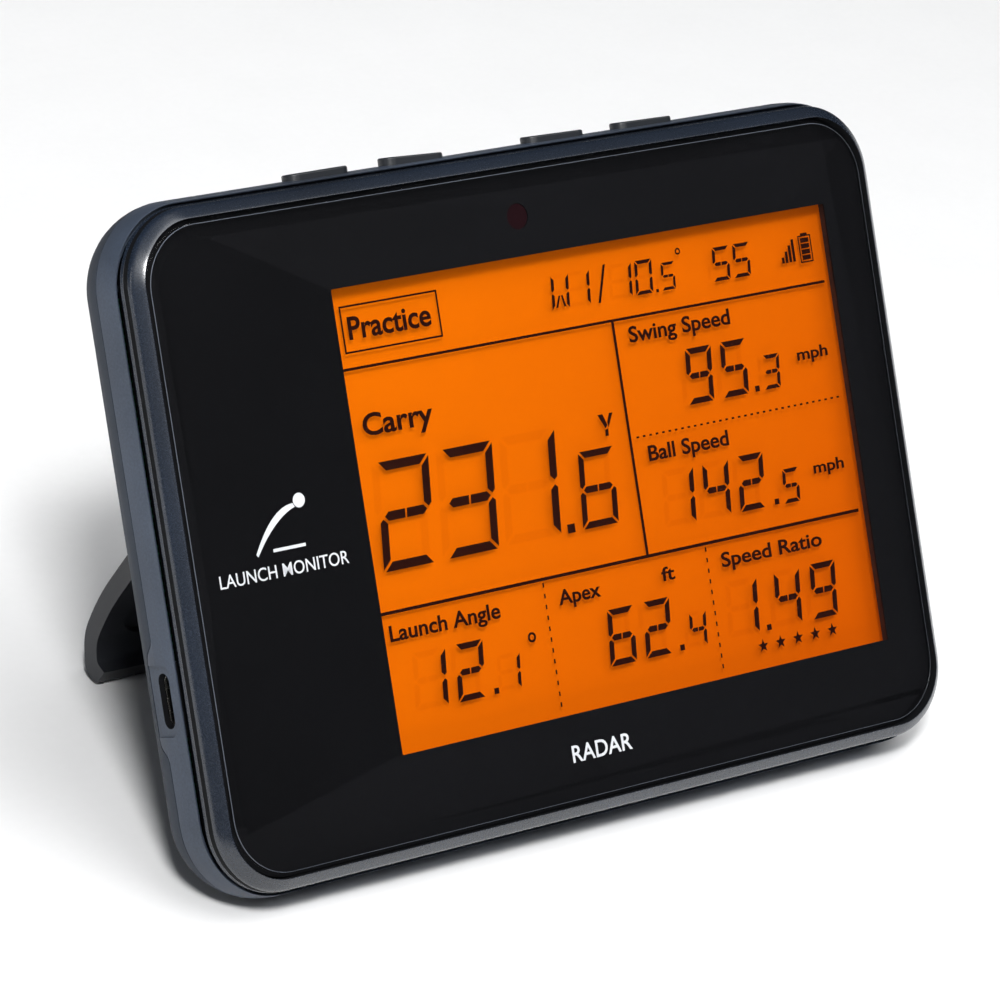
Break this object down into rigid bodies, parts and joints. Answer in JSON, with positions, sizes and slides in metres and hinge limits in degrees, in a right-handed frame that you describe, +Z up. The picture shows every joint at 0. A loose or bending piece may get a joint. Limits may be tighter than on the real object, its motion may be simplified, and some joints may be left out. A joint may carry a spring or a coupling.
{
  "type": "golf launch monitor",
  "caption": "Tablet-shaped radar launch monitor with a backlit readout behind a black lens, top buttons, a side charging port and a fold-out rear stand.",
  "frame": {"origin": "on the ground, under the middle of the object's box as it stands on its feet and open stand", "axes": "+Z up; +X to the right seen from the front; the screen faces -Y and leans back"},
  "size_m": [0.168, 0.0838, 0.1073],
  "materials": {
    "clear_acrylic": "clear moulded acrylic lens, polished",
    "black_print": "black screen print behind the lens",
    "black_tape": "black adhesive foam",
    "red_filter": "dark red infrared filter",
    "bezel_paint": "satin blue-grey paint on moulded plastic",
    "case_paint": "satin grey paint on moulded plastic",
    "stand_plastic": "matt dark grey moulded plastic",
    "button_plastic": "dark moulded plastic",
    "black_plastic": "black moulded plastic",
    "white_plastic": "white moulded plastic",
    "black_screw": "black oxide steel",
    "zinc_screw": "zinc-plated steel",
    "lcd_cell": "segment liquid crystal cell",
    "diffuser_film": "lit diffuser film",
    "light_guide": "lit amber light guide",
    "silicone": "layered conductive silicone",
    "black_epoxy": "black epoxy package",
    "circuit_board": "green solder mask on glass epoxy",
    "radar_laminate": "dark green radio laminate",
    "gold_copper": "gold-flashed copper",
    "tinned_steel": "tinned sheet steel",
    "ferrite": "moulded ferrite",
    "pouch_foil": "laminated aluminium pouch",
    "red_wire": "insulated twin wire",
    "speaker_black": "moulded speaker body",
    "rubber_black": "black moulded rubber",
    "pin_steel": "drawn steel"
  },
  "bodies": {
    "case": {"front_lens": "clear_acrylic", "lens_print": "black_print", "lens_tape": "black_tape", "ir_filter": "red_filter", "front_bezel": "bezel_paint", "display_frame": "black_plastic", "main_housing": "case_paint", "rear_cover": "case_paint", "case_screws": "black_screw", "lcd_gasket": "black_tape", "lcd_glass": "lcd_cell", "lcd_diffuser": "diffuser_film", "lcd_light_guide": "light_guide", "led_bar": "white_plastic", "lcd_tray": "white_plastic", "lcd_zebra_strip": "silicone", "ir_receiver": "black_epoxy", "main_pcb": "circuit_board", "pcb_screws": "zinc_screw", "radar_board": "radar_laminate", "antenna_patches": "gold_copper", "radar_shield": "tinned_steel", "radar_connector": "black_plastic", "processor_chip": "black_epoxy", "display_driver_chip": "black_epoxy", "wireless_module": "tinned_steel", "pressure_sensor": "tinned_steel", "charger_coil": "ferrite", "battery_tape": "black_tape", "battery": "pouch_foil", "battery_lead": "red_wire", "battery_plug": "white_plastic", "speaker": "speaker_black", "speaker_gasket": "black_tape", "speaker_contacts": "gold_copper", "usb_socket": "tinned_steel", "usb_tongue": "black_plastic", "foot_left": "rubber_black", "foot_right": "rubber_black", "hinge_pin_left": "pin_steel", "hinge_pin_right": "pin_steel", "hinge_washer_left": "pin_steel", "hinge_washer_right": "pin_steel", "switch_power": "tinned_steel", "switch_mode": "tinned_steel", "switch_up": "tinned_steel", "switch_down": "tinned_steel"},
    "stand": {"stand_plate": "stand_plastic", "stand_pad": "rubber_black"},
    "key_power": {"button_power": "button_plastic", "plunger_power": "black_plastic"},
    "key_mode": {"button_mode": "button_plastic", "plunger_mode": "black_plastic"},
    "key_up": {"button_up": "button_plastic", "plunger_up": "black_plastic"},
    "key_down": {"button_down": "button_plastic", "plunger_down": "black_plastic"}
  },
  "joints": [
    {"name": "stand_hinge", "type": "hinge", "parent": "case", "child": "stand", "pos_m": [0, 0.01204, 0.06557], "axis": [1, 0, 0], "range_deg": [-57.7, 0]},
    {"name": "press_power", "type": "slide", "parent": "case", "child": "key_power", "axis": [0, -0.506, -0.8625], "range_m": [0, 0.0004], "stiffness_N_per_m": 1500},
    {"name": "press_mode", "type": "slide", "parent": "case", "child": "key_mode", "axis": [0, -0.506, -0.8625], "range_m": [0, 0.0004], "stiffness_N_per_m": 1500},
    {"name": "press_up", "type": "slide", "parent": "case", "child": "key_up", "axis": [0, -0.506, -0.8625], "range_m": [0, 0.0004], "stiffness_N_per_m": 1500},
    {"name": "press_down", "type": "slide", "parent": "case", "child": "key_down", "axis": [0, -0.506, -0.8625], "range_m": [0, 0.0004], "stiffness_N_per_m": 1500}
  ]
}
